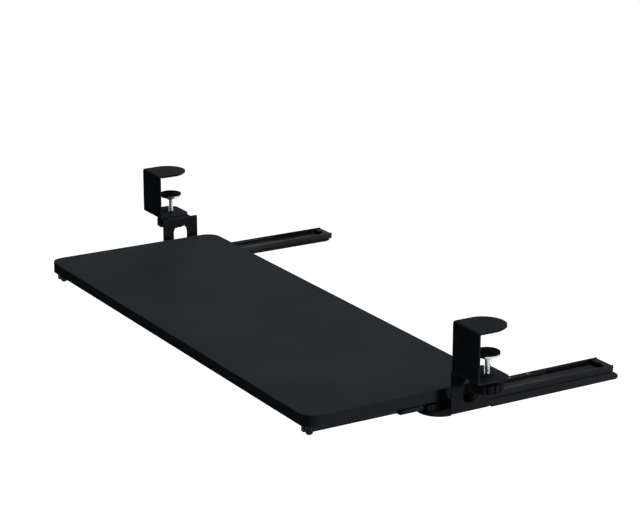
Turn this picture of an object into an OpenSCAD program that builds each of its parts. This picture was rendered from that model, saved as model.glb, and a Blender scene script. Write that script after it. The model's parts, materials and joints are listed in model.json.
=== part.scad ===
// Clamp-on keyboard tray: a black board on two telescopic ball slides, hung from the
// front edge of a desk by a screw clamp and a bent steel hanger at each side.
// Millimetres. Origin at the centre of the board's top face, +X to the right of someone
// sitting in front, +Y to the back under the desk, +Z up.

/* [Board] */
// Width of the board
board_w = 650; // [560:5:760]
// Depth of the board, front to back
board_d = 238; // [226:2:280]
// Thickness of the board
board_t = 13.5; // [12:0.5:20]
// Radius of the board's four corners
board_corner_r = 18; // [10:1:40]
// Rounding of the board's lower front edge
front_round_r = 1; // [0.5:0.25:4]
// How far the back edge of the board lies behind the desk's front edge
board_tuck = 67; // [52:1:72]

/* [Desk] */
// Thickness of the desktop that the clamps are set to
desk_t = 28; // [20:1:36]
// Height of the desk's underside over the board's top
desk_over_board = 51; // [46:1:60]

/* [Clamp] */
// Width of the clamp strip
strap_w = 49; // [44:1:60]
// Thickness of the clamp strip
strap_t = 2; // [1.5:0.25:3]
// Inner radius of every sheet bend
bend_r = 1; // [0.5:0.25:2]
// Clear height of the jaw, from the lower jaw to the pad under the tongue
throat = 53; // [48:0.5:60]
// Reach of the rounded tongue over the desk, from the strap's front face
tongue_reach = 47.5; // [40:0.5:60]
// Reach of the lower jaw under the desk, from the strap's front face
jaw_reach = 45; // [44:1:60]
// Radius of the lower jaw's rear corners
jaw_corner_r = 12; // [4:1:18]
// Thickness of the pad under the tongue
jaw_pad_t = 1.5; // [0.5:0.25:3]
// Margin of the pad inside the tongue's outline
jaw_pad_margin = 2; // [1:0.5:5]

/* [Clamp screw] */
// Diameter of the clamp screw
screw_d = 5.9; // [4.9:0.1:7.9]
// Distance of the screw's axis behind the desk's front edge
screw_back = 26; // [22:1:28]
// Radius of the clinch nut's body
nut_r = 4.5; // [4.2:0.1:6]
// Radius of the clinch nut's head
nut_head_r = 6.5; // [6.2:0.1:9]
// Height of the clinch nut's head
nut_head_h = 1.2; // [0.8:0.1:3]
// Gap between the nut's head and the knob
knob_gap = 1.3; // [1.2:0.1:6]
// Radius of the knob over its lobes
knob_r = 18.5; // [14:0.5:21]
// Height of the knob's fluted body
knob_h = 11; // [8:0.5:16]
// Number of flutes round the knob
knob_flutes = 14; // [8:1:16]
// Radius of each flute
flute_r = 2; // [1.5:0.25:3]
// Depth of each flute
flute_depth = 1.6; // [0.5:0.1:1.9]
// Angle of the first flute, where the right-hand knob stands
knob_turn = 17; // [0:1:45]
// Radius of the knob's hub
knob_hub_r = 8; // [6:0.5:10]
// Height of the knob's hub
knob_hub_h = 2; // [1:0.5:5]
// Rounding of the knob's rims
knob_rim_r = 1.5; // [0.5:0.25:2.5]
// Depth of the dish under the knob
knob_dish = 2; // [0.5:0.25:3]
// Thickness of the knob's wall under the screw's end
knob_web = 1; // [0.8:0.1:2]
// Chamfer at the screw's tip
screw_tip = 0.6; // [0.3:0.1:1]
// Radius of the pressure pad
pad_r = 14; // [10:0.5:18]
// Thickness of the pressure pad's steel plate
pad_plate_t = 2.5; // [1.5:0.25:4]
// Thickness of the pressure pad's rubber face
pad_face_t = 2; // [1:0.25:4]
// Radius of the pressure pad's socket hub
pad_hub_r = 6; // [5:0.25:8]
// Height of the pressure pad's socket hub
pad_hub_h = 3.5; // [2:0.25:5]

/* [Hanger] */
// Thickness of the hanger's sheet
hanger_t = 2; // [1.5:0.25:3]
// Width of the hanger plate along the slide
hanger_w = 50; // [40:1:60]
// Distance of the hanger's front edge behind the strap's front face
hanger_setback = 2; // [0:0.5:4]
// Gap between the board's side and the hanger plate
hanger_gap = 13; // [8:0.5:18]
// Gap between the hanger plate and the clamp strip beside it
strap_gap = 3; // [1:0.5:6]
// Distance of the top flange's front edge behind the hanger's front edge
flange_setback = 8; // [4:1:12]
// Length of the hanger's top flange along the jaw
flange_w = 33; // [30:1:38]
// How far the top flange ends inside the strip's outer edge
flange_inset = 6; // [2:1:10]
// Width of the slot in the hanger plate
slot_w = 20; // [12:1:26]
// Height of the slot in the hanger plate
slot_h = 31; // [26:1:34]
// Height of the slot's centre over the base flange
slot_over_base = 23; // [20:0.5:26]
// Width of the base flange under the slide
base_w = 50; // [49:1:58]
// Radius of the base flange's rear corners
base_rear_r = 12; // [4:1:20]
// Width of the bend relief behind the hanger plate
relief_w = 3; // [2:0.5:6]

/* [Slide] */
// Width of the outer rail over its beads
rail_w = 32; // [30:0.5:33]
// Distance of the slide's centre line inside the hanger's outer face
rail_inset = 32; // [30:0.5:33]
// Length of the outer rail
outer_l = 246; // [235:1:300]
// How far the outer rail starts in front of the hanger plate
outer_lead = 14; // [12:1:20]
// Length of the middle rail
middle_l = 203; // [195:1:206]
// How far the middle rail stands out of the outer rail
middle_lead = 32; // [28:1:36]
// Length of the inner rail under the board
inner_l = 213; // [205:1:216]
// Thickness of the outer rail's sheet
outer_t = 1; // [0.8:0.05:1.2]
// Thickness of the middle and inner rails' sheet
member_t = 1.1; // [0.9:0.05:1.2]
// Width of the lips along the top of the outer rail
lip_w = 0.8; // [0.3:0.1:0.9]
// Thickness of the lips along the top of the outer rail
lip_t = 0.9; // [0.5:0.1:1.2]
// Gap between the outer rail and the board
board_clear = 3.1; // [0.8:0.1:4]
// Diameter of the bearing balls
ball_d = 3.2; // [2.6:0.1:3.4]
// Depth of the raceways pressed into the rails
race_depth = 0.3; // [0.1:0.05:0.35]
// Thickness of the ball cages' sheet
cage_t = 0.35; // [0.25:0.05:0.45]
// Distance of the outer ball cage behind the outer rail's front end
outer_cage_back = 18; // [16:1:22]
// Number of balls in each outer row
outer_balls_n = 6; // [3:1:6]
// Pitch of the balls in the outer rows
outer_pitch = 25; // [20:1:25]
// Distance of the inner ball cage behind the middle rail's front end
inner_cage_back = 16; // [16:1:20]
// Number of balls in each inner row
inner_balls_n = 5; // [3:1:5]
// Pitch of the balls in the inner rows
inner_pitch = 16; // [14:0.5:16]
// Distance of the end balls from the ends of a cage
cage_end = 5; // [4:0.5:6]

/* [Slide fittings] */
// Length of the plastic trims on the rails' front ends
trim_l = 5.5; // [2:0.5:6]
// Length of the stop in the outer rail's rear end
rear_stop_l = 9; // [6:0.5:9]
// Diameter of the notch in the front of that stop
stop_notch_d = 6; // [3:0.5:8]
// Diameter of the rivets that hold the outer rail
rivet_d = 4; // [3:0.25:5]
// Diameter of the rivets' heads
rivet_head_d = 7.2; // [6.6:0.2:9]
// Height of the rivets' heads
rivet_head_h = 1.4; // [1:0.1:2]
// Distance of the end rivets from the ends of the outer rail
rivet_end = 30; // [20:1:40]
// Diameter of the screws that hold the inner rail
wood_screw_d = 3.5; // [3:0.25:4]
// Diameter of those screws' heads
wood_head_d = 6.4; // [5.6:0.2:8]
// Height of those screws' heads
wood_head_h = 1.8; // [1.2:0.1:2.2]
// Depth of those screws in the board
wood_screw_depth = 10; // [6:0.5:11]
// Distance of the end screws from the ends of the inner rail
wood_screw_end = 18; // [16:1:30]
// Length of the plastic end block in front of the inner rail
end_block_l = 12; // [10:0.5:14]
// Distance of the end block behind the board's front edge
end_block_back = 6; // [4:0.5:10]
// Height of the end block
end_block_h = 9.5; // [7:0.5:10]
// Width of the end block's tall half
end_block_w = 5; // [4:0.5:8]
// Length of the end block's plug in the inner rail
plug_l = 8; // [5:0.5:12]
// Height of the end block's plug
plug_h = 1.6; // [1:0.1:2.2]
// Thickness of the end block's ear, which holds the bumper
ear_t = 2.5; // [1.5:0.25:3]
// Diameter of the rubber bumper
bumper_d = 8.5; // [6:0.5:8.5]
// Rounding of the bumper's nose
bumper_nose_r = 3.5; // [0.5:0.25:3.75]
// Length of the bumper below the ear
bumper_l = 9; // [6:0.5:9.5]
// Distance of the bumper from the slide's centre line
bumper_out = 4.5; // [4.5:0.25:5.5]

/* [Clearances] */
// Running gap between the flat webs of the slide's pieces
web_gap = 0.15; // [0.1:0.05:0.3]
// Gap between a ball and its raceways or its cage hole
ball_gap = 0.1; // [0.05:0.05:0.15]
// Gap round a turning screw
turn_gap = 0.1; // [0.05:0.05:0.2]
// Gap round a fixed pin, rivet or nut in its hole
seat_gap = 0.05; // [0.02:0.01:0.1]

/* [Hidden] */
$fn = 64;
LEFT = -1;
RIGHT = 1;
SIDES = [LEFT, RIGHT];
// Overshoot of a cut past the face that it opens
CUT = 1;
// Outer radius of a rolled bend, in thicknesses of its sheet
ROLLED = 1.5;

// Heights of the hanger and the slide
ball_r = ball_d / 2;
race_r = ball_r + ball_gap;
outer_cage_w = outer_t + web_gap;
middle_web_w = outer_cage_w + cage_t + web_gap;
inner_cage_w = middle_web_w + member_t + web_gap;
inner_wall_w = inner_cage_w + cage_t + web_gap;
ball_w = inner_wall_w + race_r + seat_gap;
cage_top_w = ball_w + race_r + seat_gap;
middle_top_w = cage_top_w + web_gap;
lip_bottom_w = cage_top_w + web_gap;
outer_top_w = lip_bottom_w + lip_t;
slide_h = outer_top_w + board_clear;
base_top_z = -board_t - slide_h;
base_bottom_z = base_top_z - hanger_t;

// Half widths of the slide, from its centre line outwards
rail_half = rail_w / 2;
outer_face_u = rail_half - race_depth;
outer_inside_u = outer_face_u - outer_t;
outer_ball_u = rail_half - outer_t - race_r;
middle_face_u = outer_ball_u - race_r + race_depth;
middle_inside_u = middle_face_u - member_t;
inner_ball_u = middle_inside_u + race_depth - race_r;
inner_face_u = inner_ball_u - race_r + race_depth;
inner_inside_u = inner_face_u - member_t;

// Places across the part
hanger_in_x = board_w / 2 + hanger_gap;
hanger_out_x = hanger_in_x + hanger_t;
clamp_x = hanger_out_x + strap_gap + strap_w / 2;
rail_x = hanger_out_x - rail_inset;
base_in_x = hanger_out_x - base_w;

// Places along the part
desk_face_y = board_d / 2 - board_tuck;
strap_y = desk_face_y - strap_t;
screw_y = desk_face_y + screw_back;
hanger_y = strap_y + hanger_setback;
hanger_rear_y = hanger_y + hanger_w;
flange_y = hanger_y + flange_setback;
flange_rear_y = flange_y + flange_w;
outer_y = hanger_y - outer_lead;
outer_rear_y = outer_y + outer_l;
middle_y = outer_y - middle_lead;
end_block_y = -board_d / 2 + end_block_back;
inner_y = end_block_y + end_block_l;
outer_cage_y = outer_y + outer_cage_back;
inner_cage_y = middle_y + inner_cage_back;
bumper_y = end_block_y + bumper_d / 2 + seat_gap;

// Heights of the clamp
desk_top_z = desk_over_board + desk_t;
tongue_z = desk_top_z + jaw_pad_t;
jaw_top_z = desk_top_z - throat;
jaw_z = jaw_top_z - strap_t;
flange_z = jaw_z - hanger_t;
knob_top_z = flange_z - nut_head_h - knob_gap;
knob_z = knob_top_z - knob_hub_h - knob_h;
pad_face_z = desk_over_board - pad_face_t;
pad_plate_z = pad_face_z - pad_plate_t;
screw_r = screw_d / 2;
screw_z = knob_z + knob_dish + knob_web;
screw_top_z = pad_plate_z - seat_gap;

// Helpers

// Puts a right-hand piece on its side, mirrored for the left
module on_side(side) {
    mirror([side == LEFT ? 1 : 0, 0, 0]) children();
}

// Puts a piece of a slide on its base flange, the same way round on both sides
module on_slide(side) {
    translate([side * rail_x, 0, base_top_z]) children();
}

// Sweeps an outline drawn in X and Z along Y
module along_y(y, length) {
    translate([0, y + length, 0]) rotate([90, 0, 0]) linear_extrude(length) children();
}

// Sweeps an outline drawn in Y and Z along X
module along_x(x, length) {
    translate([x, 0, 0]) rotate([90, 0, 90]) linear_extrude(length) children();
}

// Rectangle with the corner at the origin rounded
module one_round_corner(a, b, r) {
    translate([r, 0]) square([a - r, b]);
    translate([0, r]) square([a, b - r]);
    translate([r, r]) circle(r);
}

// Section of a bent sheet, with its outer corner at the origin and legs along +x and +y
module bent_section(a, b, t) {
    difference() {
        one_round_corner(a, b, bend_r + t);
        translate([t, t]) one_round_corner(a, b, bend_r);
    }
}

// Rectangle centred on x with its two far corners rounded
module round_ended(w, y0, y1, r) {
    translate([-w / 2, y0]) square([w, y1 - r - y0]);
    translate([-w / 2 + r, y0]) square([w - 2 * r, y1 - y0]);
    for (s = SIDES) translate([s * (w / 2 - r), y1 - r]) circle(r);
}

// Rectangle centred on x with a half-round far end
module half_round(w, y0, y1) {
    intersection() {
        translate([-w / 2, y0]) square([w, y1 - y0]);
        union() {
            translate([-w / 2, y0]) square([w, y1 - w / 2 - y0]);
            translate([0, y1 - w / 2]) circle(w / 2);
        }
    }
}

// Rolled channel section, open at the top
module channel(half, inside, w0, web_t, top) {
    r = ROLLED * web_t;
    difference() {
        union() {
            translate([-half, w0 + r]) square([2 * half, top - w0 - r]);
            translate([r - half, w0]) square([2 * (half - r), top - w0]);
            for (s = SIDES) translate([s * (half - r), w0 + r]) circle(r);
        }
        translate([-inside, w0 + web_t]) square([2 * inside, top]);
    }
}

// Both raceways of a row pair, as the outline to cut
module raceways(u) {
    for (s = SIDES) translate([s * u, ball_w]) circle(race_r);
}

// Points along a slide that are evenly spaced from one end to the other
function spread(y0, y1, n) = [for (i = [0 : n - 1]) y0 + (y1 - y0) * i / (n - 1)];

rivet_places = spread(outer_y + rivet_end, outer_rear_y - rivet_end, 3);
wood_screw_places = spread(inner_y + wood_screw_end, inner_y + inner_l - wood_screw_end, 3);

// Board

module board_outline() {
    w = board_w - 2 * board_corner_r;
    d = board_d - 2 * board_corner_r;
    square([w, board_d], center = true);
    square([board_w, d], center = true);
    for (x = SIDES, y = SIDES) translate([x * w / 2, y * d / 2]) circle(board_corner_r);
}

// What the rounding takes off the lower front edge
module front_edge_cut() {
    along_x(-board_w / 2 - CUT, board_w + 2 * CUT) translate([-board_d / 2, -board_t]) difference() {
        translate([-CUT, -CUT]) square(front_round_r + CUT);
        translate([front_round_r, front_round_r]) circle(front_round_r);
    }
}

module tray_board() {
    color("#2b2d30") difference() {
        translate([0, 0, -board_t]) linear_extrude(board_t) board_outline();
        front_edge_cut();
        for (side = SIDES, y = wood_screw_places) translate([side * rail_x, y, -board_t - CUT])
            cylinder(r = wood_screw_d / 2 + seat_gap, h = CUT + wood_screw_depth + seat_gap);
    }
}

// Clamp

// Both bends and the strap of the clamp in side view
module clamp_profile() {
    reach = max(tongue_reach, jaw_reach);
    height = tongue_z + strap_t - jaw_z;
    translate([strap_y, jaw_z]) bent_section(reach, height / 2, strap_t);
    translate([strap_y, tongue_z + strap_t]) mirror([0, 1]) bent_section(reach, height / 2, strap_t);
}

module tongue_plan() {
    half_round(strap_w, strap_y, strap_y + tongue_reach);
}

module jaw_plan() {
    round_ended(strap_w, strap_y, strap_y + jaw_reach, jaw_corner_r);
}

module clamp_bracket(side) {
    middle_z = (tongue_z + jaw_top_z) / 2;
    color("#232528") on_side(side) translate([clamp_x, 0, 0]) difference() {
        intersection() {
            along_x(-strap_w / 2, strap_w) clamp_profile();
            union() {
                translate([0, 0, jaw_z]) linear_extrude(middle_z - jaw_z) jaw_plan();
                translate([0, 0, middle_z]) linear_extrude(tongue_z + strap_t - middle_z) tongue_plan();
            }
        }
        translate([0, screw_y, jaw_z - CUT]) cylinder(r = nut_r + seat_gap, h = strap_t + 2 * CUT);
    }
}

module jaw_pad(side) {
    w = strap_w - 2 * jaw_pad_margin;
    color("#17181a") on_side(side) translate([clamp_x, 0, desk_top_z]) linear_extrude(jaw_pad_t)
        half_round(w, desk_face_y + bend_r + jaw_pad_margin, strap_y + tongue_reach - jaw_pad_margin);
}

module clamp_nut(side) {
    color("#b9bdc0") on_side(side) translate([clamp_x, screw_y, 0]) difference() {
        union() {
            translate([0, 0, flange_z]) cylinder(r = nut_r, h = jaw_top_z - flange_z);
            translate([0, 0, flange_z - nut_head_h]) cylinder(r = nut_head_r, h = nut_head_h);
        }
        translate([0, 0, flange_z - nut_head_h - CUT])
            cylinder(r = screw_r + turn_gap, h = nut_head_h + jaw_top_z - flange_z + 2 * CUT);
    }
}

module clamp_screw(side) {
    tip_z = screw_top_z - screw_tip;
    color("#c9cdd0") on_side(side) translate([clamp_x, screw_y, 0]) {
        translate([0, 0, screw_z]) cylinder(r = screw_r, h = tip_z - screw_z);
        translate([0, 0, tip_z]) cylinder(r1 = screw_r, r2 = screw_r - screw_tip, h = screw_tip);
    }
}

// Half section of the knob: rounded rims, a hub on top and a dish underneath
module knob_section() {
    difference() {
        union() {
            translate([0, knob_rim_r]) square([knob_r, knob_h - 2 * knob_rim_r]);
            square([knob_r - knob_rim_r, knob_h]);
            square([knob_hub_r, knob_h + knob_hub_h]);
            for (z = [knob_rim_r, knob_h - knob_rim_r])
                translate([knob_r - knob_rim_r, z]) circle(knob_rim_r);
        }
        translate([-CUT, -CUT]) square([CUT + knob_hub_r, CUT + knob_dish]);
    }
}

module clamp_knob(side) {
    color("#1a1b1d") on_side(side) translate([clamp_x, screw_y, knob_z]) difference() {
        rotate_extrude() knob_section();
        for (i = [0 : knob_flutes - 1]) rotate(knob_turn + 360 * i / knob_flutes)
            translate([knob_r + flute_r - flute_depth, 0, -CUT]) cylinder(r = flute_r, h = knob_h + 2 * CUT);
        translate([0, 0, knob_dish + knob_web - seat_gap])
            cylinder(r = screw_r + seat_gap, h = knob_h + knob_hub_h);
    }
}

module pressure_pad(side) {
    color("#8f9396") on_side(side) translate([clamp_x, screw_y, 0]) difference() {
        union() {
            translate([0, 0, pad_plate_z]) cylinder(r = pad_r, h = pad_plate_t);
            translate([0, 0, pad_plate_z - pad_hub_h]) cylinder(r = pad_hub_r, h = pad_hub_h);
        }
        translate([0, 0, pad_plate_z - pad_hub_h - CUT])
            cylinder(r = screw_r + turn_gap, h = pad_hub_h + CUT);
    }
}

module pad_face(side) {
    color("#17181a") on_side(side) translate([clamp_x, screw_y, pad_face_z])
        cylinder(r = pad_r, h = pad_face_t);
}

// Hanger

// Flat plate under the slide, rounded in front, with room for the bend of the hanger plate
module base_plan() {
    base_r = base_w / 2;
    bend_x = hanger_out_x - hanger_t - bend_r;
    difference() {
        union() {
            translate([base_in_x + base_r, hanger_y]) circle(base_r);
            translate([base_in_x + base_r, 0]) round_ended(base_w, hanger_y, outer_rear_y, base_rear_r);
        }
        translate([bend_x, hanger_y]) square([hanger_t + bend_r + CUT, hanger_w]);
        translate([bend_x - bend_r, hanger_rear_y]) square([hanger_t + 2 * bend_r + CUT, relief_w]);
    }
}

// Top flange, plate and lower bend of the hanger in front view
module hanger_profile() {
    height = jaw_z - base_bottom_z;
    translate([hanger_in_x, jaw_z]) mirror([0, 1])
        bent_section(hanger_t + strap_gap + strap_w - flange_inset, height / 2, hanger_t);
    translate([hanger_out_x, base_bottom_z]) mirror([1, 0])
        bent_section(hanger_t + bend_r + hanger_t, height / 2, hanger_t);
}

// Keeps the top flange shorter than the jaw that it lies under, at both ends
module flange_trim() {
    width = strap_gap + strap_w;
    height = bend_r + hanger_t + 2 * CUT;
    translate([hanger_out_x, hanger_y - CUT, flange_z - bend_r - CUT])
        cube([width, flange_setback + CUT, height]);
    translate([hanger_out_x, flange_rear_y, flange_z - bend_r - CUT])
        cube([width, hanger_rear_y - flange_rear_y + CUT, height]);
}

module hanger_slot() {
    slot_r = slot_w / 2;
    straight = slot_h / 2 - slot_r;
    translate([hanger_in_x - CUT, hanger_y + hanger_w / 2, base_bottom_z + hanger_t + slot_over_base])
        rotate([0, 90, 0]) linear_extrude(hanger_t + 2 * CUT) {
            square([2 * straight, slot_w], center = true);
            for (s = SIDES) translate([s * straight, 0]) circle(slot_r);
        }
}

module hanger(side) {
    color("#26282b") on_side(side) difference() {
        union() {
            along_y(hanger_y, hanger_w) hanger_profile();
            translate([0, 0, base_bottom_z]) linear_extrude(hanger_t) base_plan();
        }
        flange_trim();
        hanger_slot();
        translate([clamp_x, screw_y, flange_z - CUT]) cylinder(r = nut_r + seat_gap, h = hanger_t + 2 * CUT);
        for (y = rivet_places) translate([rail_x, y, base_bottom_z - CUT])
            cylinder(r = rivet_d / 2 + seat_gap, h = hanger_t + 2 * CUT);
    }
}

// Slide

// Outer rail in front view: web, beaded walls and inward lips
module outer_section() {
    difference() {
        union() {
            channel(outer_face_u, outer_inside_u, 0, outer_t, outer_top_w);
            for (s = SIDES) {
                translate([s * (outer_inside_u - lip_w / 2), lip_bottom_w + lip_t / 2])
                    square([lip_w, lip_t], center = true);
                intersection() {
                    translate([s * outer_ball_u, ball_w]) circle(race_r + outer_t);
                    translate([s * rail_half, ball_w])
                        square([2 * (rail_half - outer_inside_u), slide_h], center = true);
                }
            }
        }
        raceways(outer_ball_u);
    }
}

module middle_section() {
    difference() {
        channel(middle_face_u, middle_inside_u, middle_web_w, member_t, middle_top_w);
        raceways(outer_ball_u);
        raceways(inner_ball_u);
    }
}

// Inner rail in front view, open below
module inner_section() {
    difference() {
        translate([0, slide_h]) mirror([0, 1])
            channel(inner_face_u, inner_inside_u, 0, member_t, slide_h - inner_wall_w);
        raceways(inner_ball_u);
    }
}

module outer_rail(side) {
    color("#2c2e31") on_slide(side) difference() {
        along_y(outer_y, outer_l) outer_section();
        for (y = rivet_places) translate([0, y, -CUT])
            cylinder(r = rivet_d / 2 + seat_gap, h = outer_t + 2 * CUT);
    }
}

module outer_trim(side) {
    color("#121314") on_slide(side) along_y(outer_y - trim_l, trim_l)
        channel(outer_face_u, outer_inside_u, 0, outer_t, outer_top_w);
}

module rear_stop(side) {
    half = outer_inside_u - lip_w - web_gap;
    top = lip_bottom_w - web_gap;
    color("#121314") on_slide(side) difference() {
        along_y(outer_rear_y - rear_stop_l, rear_stop_l) translate([-half, outer_t])
            square([2 * half, top - outer_t]);
        translate([0, outer_rear_y - rear_stop_l, 0]) cylinder(d = stop_notch_d, h = top + CUT);
    }
}

module rail_rivets(side) {
    head_r = rivet_head_d / 2;
    dome_r = (head_r * head_r + rivet_head_h * rivet_head_h) / (2 * rivet_head_h);
    color("#3a3c3f") on_slide(side) for (y = rivet_places) translate([0, y, -hanger_t]) {
        cylinder(d = rivet_d, h = hanger_t + outer_t);
        intersection() {
            translate([0, 0, dome_r - rivet_head_h]) sphere(dome_r);
            translate([0, 0, -rivet_head_h]) cylinder(r = head_r, h = rivet_head_h);
        }
    }
}

module middle_rail(side) {
    color("#2c2e31") on_slide(side) along_y(middle_y, middle_l) middle_section();
}

module middle_trim(side) {
    color("#121314") on_slide(side) along_y(middle_y - trim_l, trim_l)
        channel(middle_face_u, middle_inside_u, middle_web_w, member_t, middle_top_w);
}

module inner_rail(side) {
    color("#2c2e31") on_slide(side) difference() {
        along_y(inner_y, inner_l) inner_section();
        for (y = wood_screw_places) translate([0, y, slide_h - member_t - CUT])
            cylinder(r = wood_screw_d / 2 + seat_gap, h = member_t + 2 * CUT);
    }
}

module rail_screws(side) {
    color("#3a3c3f") on_slide(side) for (y = wood_screw_places) translate([0, y, slide_h - member_t]) {
        cylinder(d = wood_screw_d, h = member_t + wood_screw_depth);
        translate([0, 0, -wood_head_h]) cylinder(d = wood_head_d, h = wood_head_h);
    }
}

// Ball cage: a thin channel with a round hole for each ball
module ball_cage(side, u, w0, y0, n, pitch) {
    half = u + cage_t / 2;
    length = (n - 1) * pitch + 2 * cage_end;
    color("#8a8d90") on_slide(side) difference() {
        along_y(y0, length) channel(half, half - cage_t, w0, cage_t, cage_top_w);
        for (i = [0 : n - 1]) translate([0, y0 + cage_end + i * pitch, ball_w]) rotate([0, 90, 0])
            cylinder(r = race_r, h = 2 * (half + CUT), center = true);
    }
}

module ball_rows(side, u, y0, n, pitch) {
    color("#d2d5d8") on_slide(side) for (s = SIDES, i = [0 : n - 1])
        translate([s * u, y0 + cage_end + i * pitch, ball_w]) sphere(ball_r);
}

// Plastic block in the inner rail's front end, with an ear for the bumper beside it
module end_block(side) {
    plug_half = inner_inside_u - ball_gap;
    ear_w = bumper_out + bumper_d / 2;
    color("#141517") on_slide(side) difference() {
        union() {
            translate([-end_block_w, end_block_y, slide_h - end_block_h])
                cube([end_block_w, end_block_l, end_block_h]);
            translate([-seat_gap, end_block_y, slide_h - ear_t])
                cube([ear_w + seat_gap, end_block_l, ear_t]);
            translate([-plug_half, inner_y - seat_gap, slide_h - member_t - ball_gap - plug_h])
                cube([2 * plug_half, plug_l, plug_h]);
        }
        translate([bumper_out, bumper_y, slide_h - ear_t - CUT])
            cylinder(d = bumper_d / 2 + 2 * seat_gap, h = ear_t + CUT - seat_gap);
    }
}

module bumper(side) {
    ear_z = slide_h - ear_t;
    color("#101112") on_slide(side) translate([bumper_out, bumper_y, ear_z - bumper_l]) {
        rotate_extrude() intersection() {
            square([bumper_d / 2, bumper_l]);
            union() {
                translate([0, bumper_nose_r]) square([bumper_d / 2, bumper_l - bumper_nose_r]);
                square([bumper_d / 2 - bumper_nose_r, bumper_nose_r]);
                translate([bumper_d / 2 - bumper_nose_r, bumper_nose_r]) circle(bumper_nose_r);
            }
        }
        translate([0, 0, bumper_l]) cylinder(d = bumper_d / 2, h = ear_t - 2 * seat_gap);
    }
}

tray_board();
clamp_bracket(LEFT);  // left_clamp_bracket
clamp_bracket(RIGHT);  // right_clamp_bracket
jaw_pad(LEFT);  // left_jaw_pad
jaw_pad(RIGHT);  // right_jaw_pad
clamp_nut(LEFT);  // left_clamp_nut
clamp_nut(RIGHT);  // right_clamp_nut
clamp_screw(LEFT);  // left_clamp_screw
clamp_screw(RIGHT);  // right_clamp_screw
clamp_knob(LEFT);  // left_clamp_knob
clamp_knob(RIGHT);  // right_clamp_knob
pressure_pad(LEFT);  // left_pressure_pad
pressure_pad(RIGHT);  // right_pressure_pad
pad_face(LEFT);  // left_pad_face
pad_face(RIGHT);  // right_pad_face
hanger(LEFT);  // left_hanger
hanger(RIGHT);  // right_hanger
outer_rail(LEFT);  // left_outer_rail
outer_rail(RIGHT);  // right_outer_rail
outer_trim(LEFT);  // left_outer_trim
outer_trim(RIGHT);  // right_outer_trim
rear_stop(LEFT);  // left_rear_stop
rear_stop(RIGHT);  // right_rear_stop
rail_rivets(LEFT);  // left_rail_rivets
rail_rivets(RIGHT);  // right_rail_rivets
middle_rail(LEFT);  // left_middle_rail
middle_rail(RIGHT);  // right_middle_rail
middle_trim(LEFT);  // left_middle_trim
middle_trim(RIGHT);  // right_middle_trim
inner_rail(LEFT);  // left_inner_rail
inner_rail(RIGHT);  // right_inner_rail
rail_screws(LEFT);  // left_rail_screws
rail_screws(RIGHT);  // right_rail_screws
ball_cage(LEFT, outer_ball_u, outer_cage_w, outer_cage_y, outer_balls_n, outer_pitch);  // left_outer_cage
ball_cage(RIGHT, outer_ball_u, outer_cage_w, outer_cage_y, outer_balls_n, outer_pitch);  // right_outer_cage
ball_rows(LEFT, outer_ball_u, outer_cage_y, outer_balls_n, outer_pitch);  // left_outer_balls
ball_rows(RIGHT, outer_ball_u, outer_cage_y, outer_balls_n, outer_pitch);  // right_outer_balls
ball_cage(LEFT, inner_ball_u, inner_cage_w, inner_cage_y, inner_balls_n, inner_pitch);  // left_inner_cage
ball_cage(RIGHT, inner_ball_u, inner_cage_w, inner_cage_y, inner_balls_n, inner_pitch);  // right_inner_cage
ball_rows(LEFT, inner_ball_u, inner_cage_y, inner_balls_n, inner_pitch);  // left_inner_balls
ball_rows(RIGHT, inner_ball_u, inner_cage_y, inner_balls_n, inner_pitch);  // right_inner_balls
end_block(LEFT);  // left_end_block
end_block(RIGHT);  // right_end_block
bumper(LEFT);  // left_bumper
bumper(RIGHT);  // right_bumper
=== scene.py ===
import json
import math

import bmesh
import bpy
from mathutils import Matrix, Vector


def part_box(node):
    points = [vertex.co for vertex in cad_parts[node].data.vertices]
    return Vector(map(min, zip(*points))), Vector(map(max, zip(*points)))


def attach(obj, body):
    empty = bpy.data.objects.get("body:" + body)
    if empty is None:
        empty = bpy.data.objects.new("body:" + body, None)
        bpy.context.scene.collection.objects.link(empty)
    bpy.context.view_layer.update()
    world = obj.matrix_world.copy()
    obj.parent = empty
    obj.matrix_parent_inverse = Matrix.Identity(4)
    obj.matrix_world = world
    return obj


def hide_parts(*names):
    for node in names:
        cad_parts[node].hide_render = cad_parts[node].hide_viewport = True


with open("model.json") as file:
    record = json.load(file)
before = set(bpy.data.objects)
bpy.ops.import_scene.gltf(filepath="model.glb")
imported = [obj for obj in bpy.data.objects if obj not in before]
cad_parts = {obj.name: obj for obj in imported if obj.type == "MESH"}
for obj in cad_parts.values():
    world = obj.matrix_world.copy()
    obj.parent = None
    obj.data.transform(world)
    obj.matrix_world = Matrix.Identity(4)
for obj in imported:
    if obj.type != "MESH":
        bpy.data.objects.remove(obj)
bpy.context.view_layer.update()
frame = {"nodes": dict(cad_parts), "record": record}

MM = 0.001
SIDES = ("left", "right")
nodes = frame["nodes"]


# Materials

# The range in which nearly all values of a noise lie
NOISE_LOW, NOISE_HIGH = 0.3, 0.7


def rgb(r, g, b):
    """A colour in screen values from 0 to 255, made linear for a socket by the sRGB curve."""
    linear = []
    for value in (r, g, b):
        share = value / 255
        linear.append(share / 12.92 if share <= 0.04045 else ((share + 0.055) / 1.055) ** 2.4)
    return (*linear, 1.0)


def add_node(tree, kind, **settings):
    node = tree.nodes.new(kind)
    for key, value in settings.items():
        setattr(node, key, value)
    return node


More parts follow.
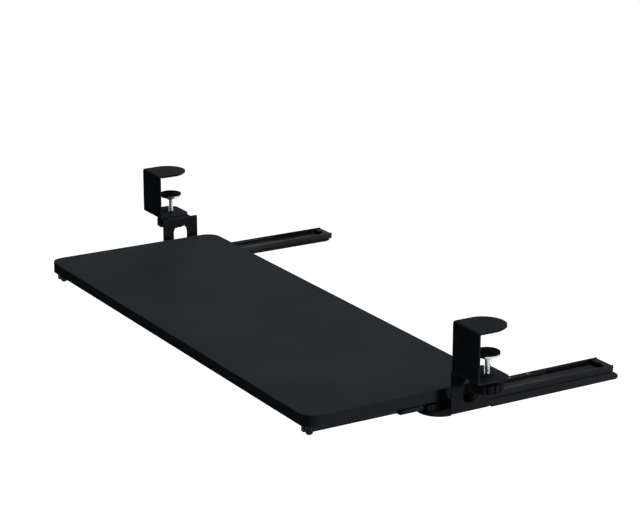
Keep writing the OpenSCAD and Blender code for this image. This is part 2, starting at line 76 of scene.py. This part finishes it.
class Shader:
    """A Principled material and the few nodes that feed it."""

    def __init__(self, name, **constants):
        self.material = bpy.data.materials.new(name)
        self.material.use_nodes = True
        self.tree = self.material.node_tree
        self.surface = self.tree.nodes["Principled BSDF"]
        self.place = self.add("ShaderNodeTexCoord").outputs["Object"]
        for socket, value in constants.items():
            self.surface.inputs[socket.replace("_", " ")].default_value = value

    def add(self, kind, **settings):
        return add_node(self.tree, kind, **settings)

    def join(self, output, socket):
        self.tree.links.new(output, socket)

    def noise(self, size_mm, detail=2.0, stretch=(1, 1, 1)):
        """Lumps about size_mm across, drawn out along an axis where stretch is under 1."""
        mapping = self.add("ShaderNodeMapping")
        mapping.inputs["Scale"].default_value = stretch
        self.join(self.place, mapping.inputs["Vector"])
        node = self.add("ShaderNodeTexNoise")
        node.inputs["Scale"].default_value = 1 / (size_mm * MM)
        node.inputs["Detail"].default_value = detail
        self.join(mapping.outputs["Vector"], node.inputs["Vector"])
        return node.outputs["Fac"]

    def pebbles(self, size_mm):
        """Rounded cells about size_mm across."""
        node = self.add("ShaderNodeTexVoronoi", feature="SMOOTH_F1")
        node.inputs["Scale"].default_value = 1 / (size_mm * MM)
        self.join(self.place, node.inputs["Vector"])
        return node.outputs["Distance"]

    def spread(self, value, low, high):
        """Maps a noise value to a range."""
        node = self.add("ShaderNodeMapRange")
        limits = {"From Min": NOISE_LOW, "From Max": NOISE_HIGH, "To Min": low, "To Max": high}
        for socket, number in limits.items():
            node.inputs[socket].default_value = number
        self.join(value, node.inputs["Value"])
        return node.outputs["Result"]

    def colours(self, value, *stops):
        """Maps a value to colours: each stop is a place and a colour in screen values."""
        node = self.add("ShaderNodeValToRGB")
        ramp = node.color_ramp
        while len(ramp.elements) < len(stops):
            ramp.elements.new(0.5)
        for element, (place, *colour) in zip(ramp.elements, stops):
            element.position = place
            element.color = rgb(*colour)
        self.join(value, node.inputs["Fac"])
        return node.outputs["Color"]

    def total(self, a, b, share):
        """a plus share times b."""
        node = self.add("ShaderNodeMath", operation="MULTIPLY_ADD")
        node.inputs[1].default_value = share
        self.join(b, node.inputs[0])
        self.join(a, node.inputs[2])
        return node.outputs["Value"]

    def relief(self, height, depth_mm, strength):
        node = self.add("ShaderNodeBump")
        node.inputs["Strength"].default_value = strength
        node.inputs["Distance"].default_value = depth_mm * MM
        self.join(height, node.inputs["Height"])
        self.join(node.outputs["Normal"], self.surface.inputs["Normal"])

    def paint(self, colour, roughness):
        self.join(colour, self.surface.inputs["Base Color"])
        self.join(roughness, self.surface.inputs["Roughness"])
        return self.material


def board_laminate():
    """Satin black film on a board: a fine pebble, faint clouds and a few handling marks."""
    s = Shader("satin_black_laminate", Specular_IOR_Level=0.0002)
    cloud = s.noise(140, detail=3)
    grain = s.noise(0.55, detail=2)
    pebble = s.pebbles(0.8)
    smear = s.noise(60, detail=4, stretch=(1, 0.25, 1))
    mixed = s.total(cloud, grain, share=0.35)
    colour = s.colours(mixed, (0.35, 37, 41, 44), (0.62, 41, 45, 48), (0.9, 45, 49, 52))
    s.relief(s.total(pebble, grain, share=0.5), depth_mm=0.05, strength=0.15)
    return s.paint(colour, s.total(s.spread(smear, 0.30, 0.40), grain, share=0.06))


def black_coat():
    """Powder coat on sheet steel: orange peel, a fine speckle and slightly uneven gloss."""
    s = Shader("black_powder_coat", Specular_IOR_Level=0.0003)
    peel = s.noise(1.1, detail=1.5)
    speckle = s.noise(0.25, detail=1)
    cloud = s.noise(45, detail=3)
    mixed = s.total(cloud, speckle, share=0.4)
    colour = s.colours(mixed, (0.4, 31, 33, 36), (0.7, 36, 38, 41), (0.95, 42, 44, 47))
    s.relief(s.total(peel, speckle, share=0.25), depth_mm=0.06, strength=0.35)
    return s.paint(colour, s.total(s.spread(cloud, 0.36, 0.48), speckle, share=0.08))


def rail_black():
    """Thin black electro-coat on rolled rails, with the drawn lines of the strip along them."""
    s = Shader("black_electro_coat", Specular_IOR_Level=0.008)
    drawn = s.noise(0.5, detail=3, stretch=(1, 0.012, 1))
    cloud = s.noise(30, detail=3, stretch=(1, 0.3, 1))
    speckle = s.noise(0.3, detail=1)
    mixed = s.total(cloud, drawn, share=0.5)
    colour = s.colours(mixed, (0.45, 36, 37, 40), (0.75, 43, 44, 47), (1.0, 54, 55, 58))
    s.relief(s.total(drawn, speckle, share=0.2), depth_mm=0.03, strength=0.3)
    return s.paint(colour, s.spread(drawn, 0.28, 0.45))


def zinc():
    """Bright zinc plate: a faint spangle and a cool tint."""
    s = Shader("bright_zinc", Metallic=1.0)
    spangle = s.pebbles(1.6)
    fine = s.noise(0.35, detail=2)
    mixed = s.total(spangle, fine, share=0.35)
    colour = s.colours(mixed, (0.2, 188, 194, 198), (0.55, 206, 211, 214), (0.9, 224, 227, 229))
    s.relief(fine, depth_mm=0.01, strength=0.25)
    return s.paint(colour, s.total(s.spread(spangle, 0.18, 0.30), fine, share=0.1))


def cage_steel():
    """Plain thin steel strip with rolling lines and a trace of grease."""
    s = Shader("steel_strip", Metallic=1.0)
    rolled = s.noise(0.4, detail=3, stretch=(1, 0.02, 1))
    grease = s.noise(9, detail=3)
    mixed = s.total(rolled, grease, share=0.5)
    colour = s.colours(mixed, (0.4, 128, 129, 130), (0.75, 150, 151, 152), (1.0, 168, 168, 167))
    s.relief(rolled, depth_mm=0.01, strength=0.3)
    return s.paint(colour, s.total(s.spread(grease, 0.22, 0.40), rolled, share=0.1))


def ball_steel():
    """Polished bearing steel with a thin film of grease."""
    s = Shader("bearing_steel", Metallic=1.0)
    film = s.noise(1.2, detail=3)
    colour = s.colours(film, (0.3, 196, 197, 198), (0.7, 224, 225, 226))
    s.relief(film, depth_mm=0.005, strength=0.2)
    return s.paint(colour, s.spread(film, 0.06, 0.18))


def black_plastic():
    """Moulded nylon with a spark-eroded texture."""
    s = Shader("moulded_black_nylon", Specular_IOR_Level=0.006)
    erosion = s.noise(0.3, detail=2)
    cloud = s.noise(14, detail=2)
    mixed = s.total(cloud, erosion, share=0.5)
    colour = s.colours(mixed, (0.45, 26, 27, 29), (0.75, 32, 33, 35), (1.0, 39, 40, 42))
    s.relief(erosion, depth_mm=0.04, strength=0.4)
    return s.paint(colour, s.spread(erosion, 0.40, 0.55))


def rubber_pad():
    """Matt rubber with a dusty bloom."""
    s = Shader("matt_rubber", Specular_IOR_Level=0.004)
    bloom = s.noise(6, detail=4)
    pores = s.noise(0.22, detail=2)
    mixed = s.total(bloom, pores, share=0.5)
    colour = s.colours(mixed, (0.45, 17, 17, 18), (0.8, 24, 24, 25), (1.0, 34, 34, 34))
    s.relief(pores, depth_mm=0.06, strength=0.5)
    return s.paint(colour, s.spread(bloom, 0.72, 0.9))


def moulded_foot():
    """Semi-gloss moulding of the end blocks and bumpers, with flow marks and a fine texture."""
    s = Shader("semi_gloss_moulding", Specular_IOR_Level=0.05)
    flow = s.noise(3, detail=3, stretch=(1, 1, 0.4))
    texture = s.noise(0.2, detail=2)
    mixed = s.total(flow, texture, share=0.4)
    colour = s.colours(mixed, (0.4, 28, 29, 31), (0.7, 35, 36, 38), (0.95, 42, 43, 45))
    s.relief(s.total(texture, flow, share=0.5), depth_mm=0.02, strength=0.3)
    return s.paint(colour, s.spread(flow, 0.30, 0.42))


FINISHES = {make.__name__: make() for make in (
    board_laminate, black_coat, rail_black, zinc, cage_steel, ball_steel, black_plastic,
    rubber_pad, moulded_foot)}


# Carried-over solids: their finish, and the small rounding of their edges

SLOT_OF_NODE = {part["node"]: part["material_slot"] for part in frame["record"]["subparts"]}

# Pieces with a finish of their own in place of their slot's
FINISH_OF_KIND = {"end_block": "moulded_foot", "bumper": "moulded_foot"}

# Edge rounding of the carried-over solids, in mm, and its segments
ROUNDING = {
    "tray_board": (0.9, 3),
    "clamp_bracket": (0.5, 3),
    "hanger": (0.5, 3),
    "jaw_pad": (0.3, 2),
    "clamp_nut": (0.25, 2),
    "rail_rivets": (0.15, 2),
    "outer_rail": (0.15, 2),
    "middle_rail": (0.15, 2),
    "inner_rail": (0.15, 2),
    "outer_trim": (0.2, 2),
    "middle_trim": (0.2, 2),
    "rear_stop": (0.4, 2),
    "end_block": (0.6, 3),
    "bumper": (0.2, 2),
}

# Edges that turn by more than this are rounded, or shaded sharp on the pieces made here
ROUNDED_ANGLE = math.radians(35)
SHARP_ANGLE = math.radians(40)

# Points closer than this are one, in metres: of carried-over solids, pieces made here, threads
NODE_GAP = 1e-6
PIECE_GAP = 1e-7
THREAD_GAP = 2e-6


def kind_of(node):
    """A node's name without its side."""
    for side in SIDES:
        if node.startswith(side + "_"):
            return node[len(side) + 1:]
    return node


def weld(obj):
    """Joins the split corners of a carried-over solid without touching its mesh."""
    obj.modifiers.new("weld", "WELD").merge_threshold = NODE_GAP


def soften(obj, width_mm, segments):
    """Rounds the sharp edges of a piece without touching its mesh."""
    bevel = obj.modifiers.new("edges", "BEVEL")
    bevel.width = width_mm * MM
    bevel.segments = segments
    bevel.limit_method = "ANGLE"
    bevel.angle_limit = ROUNDED_ANGLE
    bevel.use_clamp_overlap = True
    bevel.harden_normals = True


for name, obj in nodes.items():
    obj.data.materials.clear()
    obj.data.materials.append(FINISHES[FINISH_OF_KIND.get(kind_of(name), SLOT_OF_NODE[name])])
    weld(obj)
    if kind_of(name) in ROUNDING:
        soften(obj, *ROUNDING[kind_of(name)])


# Pieces made here

LATHE_STEPS = 72
ARC_STEPS = 5


def merge(bm, gap):
    bmesh.ops.remove_doubles(bm, verts=bm.verts, dist=gap)
    bmesh.ops.dissolve_degenerate(bm, edges=bm.edges, dist=gap)


def new_piece(name, mesh_maker, body, slot, *replaced):
    mesh = bpy.data.meshes.new(name)
    bm = bmesh.new()
    mesh_maker(bm)
    merge(bm, PIECE_GAP)
    bmesh.ops.recalc_face_normals(bm, faces=bm.faces)
    for face in bm.faces:
        face.smooth = True
    bm.to_mesh(mesh)
    bm.free()
    mesh.set_sharp_from_angle(angle=SHARP_ANGLE)
    mesh.materials.append(FINISHES[slot])
    obj = bpy.data.objects.new(name, mesh)
    bpy.context.scene.collection.objects.link(obj)
    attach(obj, body)
    if replaced:
        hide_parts(*replaced)
    return obj


def axis_of(node):
    """Where the upright axis of a solid stands, in metres."""
    low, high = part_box(node)
    return ((low.x + high.x) / 2, (low.y + high.y) / 2)


def turns(count):
    """Angles of the points of a ring."""
    return [2 * math.pi * i / count for i in range(count)]


def ring(centre, radius_at, z, angles):
    """Points about an upright axis: centre in metres, radius and height in mm."""
    return [(centre[0] + radius_at(a) * MM * math.cos(a),
             centre[1] + radius_at(a) * MM * math.sin(a), z * MM) for a in angles]


def circle(centre, radius, z, angles):
    return ring(centre, lambda a: radius, z, angles)


def tip(centre, z):
    """A ring of one point, which closes an end."""
    return [(centre[0], centre[1], z * MM)]


def skin(bm, rings):
    """Skins a list of rings with equal counts of points, where a tip closes an end."""
    made = [[bm.verts.new(p) for p in points] for points in rings]
    for low, high in zip(made, made[1:]):
        count = max(len(low), len(high))
        for i in range(count):
            j = (i + 1) % count
            corners = [low[i % len(low)], low[j % len(low)],
                       high[j % len(high)], high[i % len(high)]]
            unique = list(dict.fromkeys(corners))
            if len(unique) > 2:
                bm.faces.new(unique)


def lathe(bm, centre, profile):
    """Turns a profile of (radius, height) in mm, from one end on the axis to the other."""
    angles = turns(LATHE_STEPS)
    skin(bm, [circle(centre, radius, z, angles) if radius > 0 else tip(centre, z)
              for radius, z in profile])


def eased(radius, height, offsets):
    """Points of a profile round a corner, from their offsets."""
    return [(radius + r, height + z) for r, z in offsets]


def arc(r0, z0, radius, start, stop):
    """Points of a rounding about (r0, z0), from start to stop in degrees."""
    angles = [math.radians(start + (stop - start) * i / ARC_STEPS) for i in range(ARC_STEPS + 1)]
    return [(r0 + radius * math.cos(a), z0 + radius * math.sin(a)) for a in angles]


# Clamp knob, in mm and degrees
KNOB_R = 18.5
KNOB_H = 11.0
KNOB_RIM = 1.5
RIM_STEPS = 6
HUB_R = 8.0
HUB_H = 2.0
DISH = 2.0
BORE_R = 3.0
WEB = 1.0
FLUTES = 14
FLUTE_R = 2.0
FLUTE_DEPTH = 1.6
FLUTE_TURN = {"left": 163.0, "right": 17.0}
FLUTE_STEPS = 20
# How sharply a flute meets the rim, and how steeply its outline leaves the knob beyond it
FLUTE_CRISPNESS = 5.0
FLUTE_FLARE = 3
# Eased corners: the dish's floor and mouth, the hub's foot and crown, the bore's mouth
DISH_EASE = ((-0.6, 0), (-0.15, -0.2), (0, -0.7))
MOUTH_EASE = ((0, 0.5), (0.15, 0.15), (0.5, 0))
FOOT_EASE = ((1.0, 0), (0.4, 0.12), (0, 0.6))
CROWN_EASE = ((0, -0.5), (-0.15, -0.15), (-0.5, 0))
BORE_EASE = ((0.4, 0), (0, -0.4))


def flute_radius(angle):
    """The knob's radius at an angle from the middle of a flute, with rounded lobes."""
    pitch = 2 * math.pi / FLUTES
    off = (angle + pitch / 2) % pitch - pitch / 2
    middle = KNOB_R + FLUTE_R - FLUTE_DEPTH
    aside = abs(middle * math.sin(off))
    reach = FLUTE_R * FLUTE_R - aside * aside
    if reach > 0:
        hollow = middle * math.cos(off) - math.sqrt(reach)
    else:
        hollow = middle * math.cos(off) + FLUTE_FLARE * (aside - FLUTE_R)
    shares = math.exp(-FLUTE_CRISPNESS * KNOB_R) + math.exp(-FLUTE_CRISPNESS * hollow)
    return -math.log(shares) / FLUTE_CRISPNESS


def knob(side):
    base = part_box(f"{side}_clamp_knob")[0].z / MM
    centre = axis_of(f"{side}_clamp_knob")
    angles = turns(FLUTES * FLUTE_STEPS)
    turn = math.radians(FLUTE_TURN[side])
    quarter = [math.pi / 2 * k / RIM_STEPS for k in range(RIM_STEPS + 1)]
    top = KNOB_H + HUB_H
    below = eased(HUB_R, DISH, DISH_EASE) + eased(HUB_R, 0, MOUTH_EASE)
    above = eased(HUB_R, KNOB_H, FOOT_EASE) + eased(HUB_R, top, CROWN_EASE)
    above += eased(BORE_R, top, BORE_EASE) + [(BORE_R, DISH + WEB)]

    def fluted(inset, z):
        return ring(centre, lambda a: flute_radius(a - turn) - inset, base + z, angles)

    def make(bm):
        rings = [tip(centre, base + DISH)]
        rings += [circle(centre, r, base + z, angles) for r, z in below]
        rings += [fluted(KNOB_RIM * (1 - math.sin(a)), KNOB_RIM * (1 - math.cos(a)))
                  for a in quarter]
        rings += [fluted(KNOB_RIM * (1 - math.cos(a)), KNOB_H - KNOB_RIM * (1 - math.sin(a)))
                  for a in quarter]
        rings += [circle(centre, r, base + z, angles) for r, z in above]
        rings += [tip(centre, base + DISH + WEB)]
        skin(bm, rings)

    new_piece(f"{side}_knob", make, f"{side}_screw", "black_plastic", f"{side}_clamp_knob")


# Clamp screw, in mm
THREAD_MAJOR = 2.95
THREAD_MINOR = 2.45
THREAD_PITCH = 1.0
THREAD_CHAMFER = 0.3
THREAD_STEPS = 30
# Radius along one turn of the thread, by the share of its pitch
THREAD_FLANK = ((THREAD_MINOR, 0.0), (THREAD_MINOR, 0.14), (THREAD_MAJOR, 0.46),
                (THREAD_MAJOR, 0.60), (THREAD_MINOR, 0.92))


def threaded_rod(bm, centre, low, high):
    """A closed rod with a right-hand thread, from low to high in mm, chamfered at both ends."""
    rounds = math.ceil((high - low) / THREAD_PITCH) + 1
    columns = []
    for i, angle in enumerate(turns(THREAD_STEPS)):
        column = []
        for turn in range(-1, rounds):
            for radius, share in THREAD_FLANK:
                z = low + THREAD_PITCH * (turn + share + i / THREAD_STEPS)
                z = min(max(z, low), high)
                room = THREAD_MINOR - THREAD_CHAMFER + min(z - low, high - z)
                radius = min(radius, room)
                column.append(bm.verts.new((centre[0] + radius * MM * math.cos(angle),
                                            centre[1] + radius * MM * math.sin(angle), z * MM)))
        columns.append(column)
    # After the last column the first one follows, one turn higher
    columns.append(columns[0][len(THREAD_FLANK):])
    for left, right in zip(columns, columns[1:]):
        for row in range(len(right) - 1):
            bm.faces.new((left[row], right[row], right[row + 1], left[row + 1]))
    merge(bm, THREAD_GAP)
    open_edges = [e for e in bm.edges if len(e.link_faces) == 1]
    bmesh.ops.holes_fill(bm, edges=open_edges, sides=0)


def screw(side):
    low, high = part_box(f"{side}_clamp_screw")

    def make(bm):
        threaded_rod(bm, axis_of(f"{side}_clamp_screw"), low.z / MM, high.z / MM)

    new_piece(f"{side}_threaded_screw", make, f"{side}_screw", "zinc", f"{side}_clamp_screw")


# Pressure pad, in mm
PAD_R = 14.0
PAD_PLATE = 2.5
PAD_HUB_R = 6.0
PAD_BORE = 3.05
PAD_BORE_ROOM = 0.05
PAD_BORE_CHAMFER = 0.3
PAD_HUB_EDGE = 0.5
PAD_FILLET = 0.6
PAD_EDGE = 0.8
# Its rubber face, with grooves whose section is given from their outer top corner
FACE_CHAMFER = 0.3
FACE_EDGE = 0.6
GROOVES = 5
GROOVE_INSET = 1.6
GROOVE_PITCH = 2.4
GROOVE_DEPTH = 0.45
GROOVE_SECTION = ((0, 0), (-0.25, -0.1), (-0.4, -GROOVE_DEPTH), (-0.8, -GROOVE_DEPTH),
                  (-0.95, -0.1), (-1.2, 0))


def pressure_plate(side):
    low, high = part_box(f"{side}_pressure_pad")
    bottom, top = low.z / MM, high.z / MM
    plate = top - PAD_PLATE
    floor = plate - PAD_BORE_ROOM

    def make(bm):
        profile = [(0, floor), (PAD_BORE, floor), (PAD_BORE, bottom + PAD_BORE_CHAMFER),
                   (PAD_BORE + PAD_BORE_CHAMFER, bottom)]
        profile += arc(PAD_HUB_R - PAD_HUB_EDGE, bottom + PAD_HUB_EDGE, PAD_HUB_EDGE, -90, 0)
        profile += [(PAD_HUB_R, plate - PAD_FILLET)]
        profile += arc(PAD_HUB_R + PAD_FILLET, plate - PAD_FILLET, PAD_FILLET, 180, 90)
        profile += arc(PAD_R - PAD_EDGE, plate + PAD_EDGE, PAD_EDGE, -90, 0)
        profile += [(PAD_R, top), (0, top)]
        lathe(bm, axis_of(f"{side}_pressure_pad"), profile)

    new_piece(f"{side}_pressure_plate", make, f"{side}_pad", "zinc", f"{side}_pressure_pad")


def rubber_face(side):
    low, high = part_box(f"{side}_pad_face")
    bottom, top = low.z / MM, high.z / MM

    def make(bm):
        profile = [(0, bottom), (PAD_R - FACE_CHAMFER, bottom), (PAD_R, bottom + FACE_CHAMFER)]
        profile += arc(PAD_R - FACE_EDGE, top - FACE_EDGE, FACE_EDGE, 0, 90)
        for k in range(GROOVES):
            profile += eased(PAD_R - GROOVE_INSET - GROOVE_PITCH * k, top, GROOVE_SECTION)
        profile += [(0, top)]
        lathe(bm, axis_of(f"{side}_pad_face"), profile)

    new_piece(f"{side}_ribbed_face", make, f"{side}_pad", "rubber_pad", f"{side}_pad_face")


# Pan-head screws of the inner rails, in mm
HEAD_R = 3.2
HEAD_H = 1.8
# The head's radius, and the height above its face
HEAD_PROFILE = ((1.9, 0), (2.3, 0.05), (2.8, 0.3), (3.1, 0.7), (HEAD_R, 1.2), (HEAD_R, HEAD_H))
SHANK_R = 1.75
SHANK_TIP = 3.0
# Cross recess: reach and half width of its arms, at the mouth and at the floor
CROSS_TOP = (1.6, 0.42)
CROSS_FLOOR = (1.1, 0.30)
CROSS_DEPTH = 0.9
CROSS_TIP = 0.2
SCREWS_PER_RAIL = 3
SCREW_STEPS = 64
# Keeps the radius finite along the middle of an arm
LEAST_SINE = 1e-6


def cross_radius(angle, reach, half_width):
    """Radius of a cross-shaped recess at an angle."""
    off = abs((angle + math.pi / 4) % (math.pi / 2) - math.pi / 4)
    return min(reach / math.cos(off), half_width / max(math.sin(off), LEAST_SINE))


def rail_screws(side):
    low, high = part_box(f"{side}_rail_screws")
    x = (low.x + high.x) / 2
    first, last = low.y + HEAD_R * MM, high.y - HEAD_R * MM
    bottom, top = low.z / MM, high.z / MM
    angles = turns(SCREW_STEPS)

    def one(bm, centre):
        rings = [tip(centre, bottom + CROSS_DEPTH + CROSS_TIP)]
        for arms, z in ((CROSS_FLOOR, bottom + CROSS_DEPTH), (CROSS_TOP, bottom)):
            rings.append(ring(centre, lambda a: cross_radius(a, *arms), z, angles))
        rings += [circle(centre, r, bottom + z, angles) for r, z in HEAD_PROFILE]
        rings += [circle(centre, SHANK_R, z, angles) for z in (bottom + HEAD_H, top - SHANK_TIP)]
        rings += [tip(centre, top)]
        skin(bm, rings)

    def make(bm):
        for i in range(SCREWS_PER_RAIL):
            one(bm, (x, first + (last - first) * i / (SCREWS_PER_RAIL - 1)))

    new_piece(f"{side}_pan_head_screws", make, "tray", "zinc", f"{side}_rail_screws")


# Cradle behind each bumper, in mm, with the thickness of the end block's ear above it
CRADLE_SLACK = 0.2
CRADLE_STEPS = 16
CRADLE_ROUNDING = (0.3, 2)
EAR_T = 2.5


def bumper_cradle(side):
    """A moulded wall that hugs the bumper from behind and closes the inner rail's front end."""
    low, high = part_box(f"{side}_bumper")
    rail_low, rail_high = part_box(f"{side}_inner_rail")
    axis = axis_of(f"{side}_bumper")
    slack = CRADLE_SLACK * MM
    radius = (high.x - low.x) / 2 + slack
    left, right = (rail_low.x + rail_high.x) / 2 + slack, rail_high.x
    start, stop = math.acos((right - axis[0]) / radius), math.acos((left - axis[0]) / radius)
    angles = [start + (stop - start) * i / CRADLE_STEPS for i in range(CRADLE_STEPS + 1)]
    outline = [(axis[0] + radius * math.cos(a), axis[1] + radius * math.sin(a)) for a in angles]
    outline += [(left, rail_low.y), (right, rail_low.y)]
    bottom, top = rail_low.z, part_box(f"{side}_end_block")[1].z - EAR_T * MM

    def make(bm):
        lower, upper = ([bm.verts.new((x, y, z)) for x, y in outline] for z in (bottom, top))
        bm.faces.new(lower)
        bm.faces.new(upper)
        for i in range(len(outline)):
            bm.faces.new((lower[i - 1], lower[i], upper[i], upper[i - 1]))

    obj = new_piece(f"{side}_bumper_cradle", make, "tray", "black_plastic")
    obj.data.materials[0] = FINISHES["moulded_foot"]
    soften(obj, *CRADLE_ROUNDING)


for side in SIDES:
    bumper_cradle(side)
    knob(side)
    screw(side)
    pressure_plate(side)
    rubber_face(side)
    rail_screws(side)


# Stage, light and camera, in metres and watts

FLOOR_Z = -0.70
FLOOR_SIZE = 40
FLOOR_GREY = (0.3, 0.3, 0.3, 1.0)
FLOOR_ROUGHNESS = 0.9
# The floor's own white: distances from the middle between which it rises, and from what to what
FLOOR_FADE = {"From Min": 1.0, "From Max": 2.4, "To Min": 0.85, "To Max": 1.0}
WHITE = (1.0, 1.0, 1.0, 1.0)
WORLD_TINT = (0.95, 0.97, 1.0, 1.0)
WORLD_STRENGTH = 0.03

# Soft lamps: place, target, size and power
LAMPS = {
    "top": ((0.1, 0.9, 2.4), (0.0, 0.1, 0), (2.4, 1.2), 60),
    "side": ((1.241, 0.691, 0.04), (0.34, 0.06, 0), (0.4, 0.2), 8.0),
    "fill": ((-2.2, 1.3, 0.7), (-0.3, 0.1, 0), (1.2, 0.8), 8),
    "front": ((1.0, -2.4, 0.5), (0.2, 0.0, 0), (1.6, 0.8), 4),
    "under": ((0.0, 0.08, -0.6), (0.0, 0.08, 0), (1.0, 0.5), 4.5),
}

# The photograph's camera: where it stands, where it looks, and its lens and sensor in mm
CAMERA_PLACE = (2.16024, -1.19800, 0.82773)
CAMERA_FORWARD = (-0.82141, 0.49010, -0.29170)
CAMERA_LENS = 123.484
CAMERA_SENSOR = 36.0


def background_light(tree, lit, seen, target):
    """Shows one shader to the camera, in gloss and through glass, and another to all else."""
    path = add_node(tree, "ShaderNodeLightPath")
    first = add_node(tree, "ShaderNodeMath", operation="MAXIMUM")
    second = add_node(tree, "ShaderNodeMath", operation="MAXIMUM")
    mix = add_node(tree, "ShaderNodeMixShader")
    tree.links.new(path.outputs["Is Camera Ray"], first.inputs[0])
    tree.links.new(path.outputs["Is Glossy Ray"], first.inputs[1])
    tree.links.new(first.outputs["Value"], second.inputs[0])
    tree.links.new(path.outputs["Is Transmission Ray"], second.inputs[1])
    tree.links.new(second.outputs["Value"], mix.inputs["Fac"])
    tree.links.new(lit, mix.inputs[1])
    tree.links.new(seen, mix.inputs[2])
    tree.links.new(mix.outputs["Shader"], target)


def studio_world():
    """A dim world that looks white."""
    world = bpy.data.worlds.new("studio")
    world.use_nodes = True
    tree = world.node_tree
    dim = tree.nodes["Background"]
    dim.inputs["Color"].default_value = WORLD_TINT
    dim.inputs["Strength"].default_value = WORLD_STRENGTH
    white = add_node(tree, "ShaderNodeBackground")
    white.inputs["Color"].default_value = WHITE
    white.inputs["Strength"].default_value = 1.0
    background_light(tree, dim.outputs["Background"], white.outputs["Background"],
                     tree.nodes["World Output"].inputs["Surface"])
    bpy.context.scene.world = world


def pale_floor():
    """Looks white, keeps a soft shadow, throws little light back up and is clear from below."""
    material = bpy.data.materials.new("pale_floor")
    material.use_nodes = True
    tree = material.node_tree
    pale = tree.nodes["Principled BSDF"]
    pale.inputs["Base Color"].default_value = FLOOR_GREY
    pale.inputs["Roughness"].default_value = FLOOR_ROUGHNESS
    pale.inputs["Specular IOR Level"].default_value = 0.0
    place = add_node(tree, "ShaderNodeTexCoord")
    distance = add_node(tree, "ShaderNodeVectorMath", operation="LENGTH")
    tree.links.new(place.outputs["Object"], distance.inputs[0])
    fade = add_node(tree, "ShaderNodeMapRange")
    for socket, number in FLOOR_FADE.items():
        fade.inputs[socket].default_value = number
    tree.links.new(distance.outputs["Value"], fade.inputs["Value"])
    white = add_node(tree, "ShaderNodeEmission")
    white.inputs["Color"].default_value = WHITE
    tree.links.new(fade.outputs["Result"], white.inputs["Strength"])
    both = add_node(tree, "ShaderNodeAddShader")
    tree.links.new(pale.outputs["BSDF"], both.inputs[0])
    tree.links.new(white.outputs["Emission"], both.inputs[1])
    side = add_node(tree, "ShaderNodeNewGeometry")
    clear = add_node(tree, "ShaderNodeBsdfTransparent")
    one_sided = add_node(tree, "ShaderNodeMixShader")
    tree.links.new(side.outputs["Backfacing"], one_sided.inputs["Fac"])
    background_light(tree, pale.outputs["BSDF"], both.outputs["Shader"], one_sided.inputs[1])
    tree.links.new(clear.outputs["BSDF"], one_sided.inputs[2])
    tree.links.new(one_sided.outputs["Shader"], tree.nodes["Material Output"].inputs["Surface"])
    return material


def studio_floor():
    mesh = bpy.data.meshes.new("floor")
    bm = bmesh.new()
    bmesh.ops.create_grid(bm, x_segments=1, y_segments=1, size=FLOOR_SIZE)
    bm.to_mesh(mesh)
    bm.free()
    mesh.materials.append(pale_floor())
    floor = bpy.data.objects.new("floor", mesh)
    floor.location = (0, 0, FLOOR_Z)
    bpy.context.scene.collection.objects.link(floor)


def softbox(name, place, target, size, power):
    light = bpy.data.lights.new(name, "AREA")
    light.shape = "RECTANGLE"
    light.size, light.size_y = size
    light.energy = power
    obj = bpy.data.objects.new(name, light)
    obj.location = place
    obj.rotation_euler = (Vector(target) - Vector(place)).to_track_quat("-Z", "Y").to_euler()
    obj.visible_camera = False
    bpy.context.scene.collection.objects.link(obj)


def photo_camera():
    camera = bpy.data.cameras.new("camera")
    camera.sensor_fit = "HORIZONTAL"
    camera.sensor_width = CAMERA_SENSOR
    camera.lens = CAMERA_LENS
    obj = bpy.data.objects.new("camera", camera)
    forward = Vector(CAMERA_FORWARD).normalized()
    right = forward.cross(Vector((0, 0, 1))).normalized()
    up = right.cross(forward)
    turn = Matrix((right, up, -forward)).transposed().to_4x4()
    obj.matrix_world = Matrix.Translation(CAMERA_PLACE) @ turn
    bpy.context.scene.collection.objects.link(obj)
    bpy.context.scene.camera = obj


studio_world()
studio_floor()
for name, lamp in LAMPS.items():
    softbox(name, *lamp)
photo_camera()
bpy.context.scene.view_settings.view_transform = "Standard"
